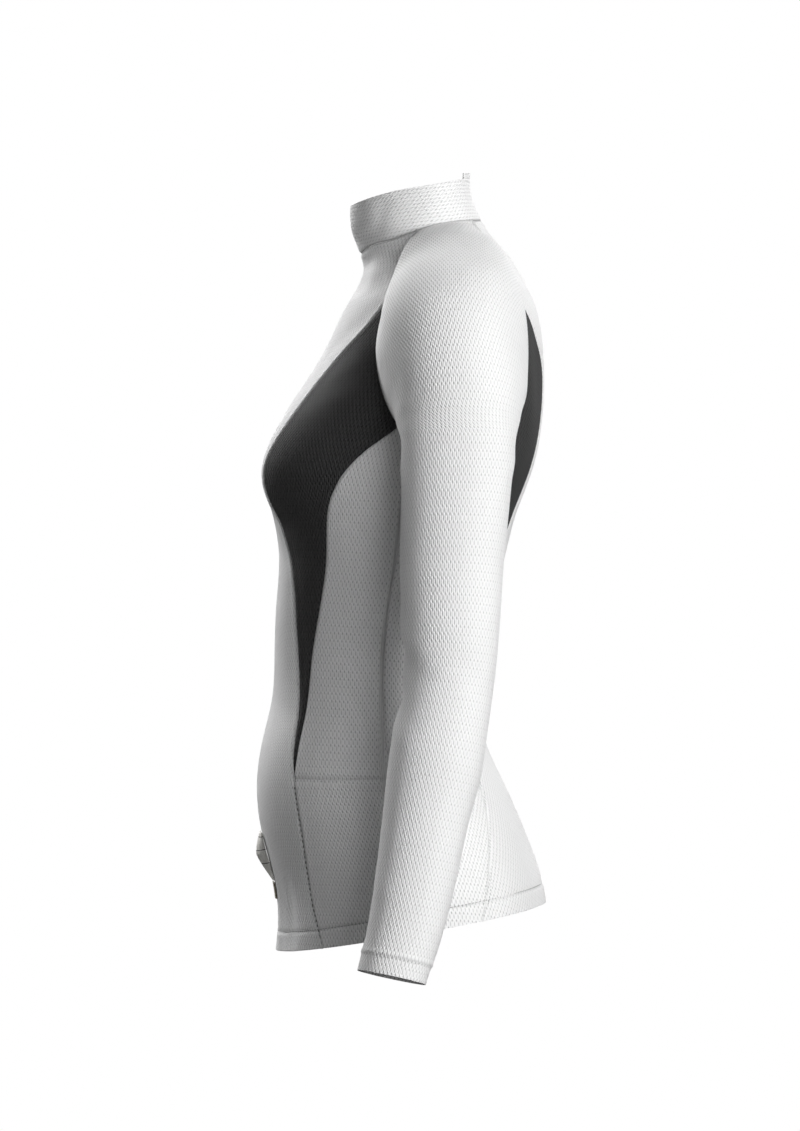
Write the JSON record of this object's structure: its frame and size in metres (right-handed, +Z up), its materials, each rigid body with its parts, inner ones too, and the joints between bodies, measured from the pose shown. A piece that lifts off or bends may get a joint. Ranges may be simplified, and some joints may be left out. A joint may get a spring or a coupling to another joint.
{
  "type": "racing base layer top",
  "caption": "Fitted long-sleeved knit top with a stand-up collar, raglan sleeves and dark contour panels, hollow and shaped as worn.",
  "frame": {"origin": "middle of the neck base, on the plane through the neck seam, where the worn top is held on the shoulders", "axes": "+Z up, the front of the garment faces -Y, and the wearer's left is +X"},
  "size_m": [0.5256, 0.2589, 0.716],
  "materials": {
    "white_knit": "white honeycomb knit, matt with a faint sheen",
    "collar_knit": "white honeycomb knit, laid on the slant",
    "black_knit": "charcoal honeycomb knit, matt",
    "label_cloth": "smooth woven tape, blank",
    "patch_cloth": "brown woven tape, blank"
  },
  "bodies": {
    "root": {"collar": "collar_knit", "front_centre": "white_knit", "back_centre": "white_knit", "front_contour_left": "black_knit", "front_contour_right": "black_knit", "back_contour_left": "black_knit", "back_contour_right": "black_knit", "side_front_upper_left": "white_knit", "side_front_upper_right": "white_knit", "side_front_lower_left": "white_knit", "side_front_lower_right": "white_knit", "side_back_left": "white_knit", "side_back_right": "white_knit", "sleeve_left": "white_knit", "sleeve_right": "white_knit", "care_label": "label_cloth", "size_patch": "patch_cloth"}
  },
  "joints": []
}
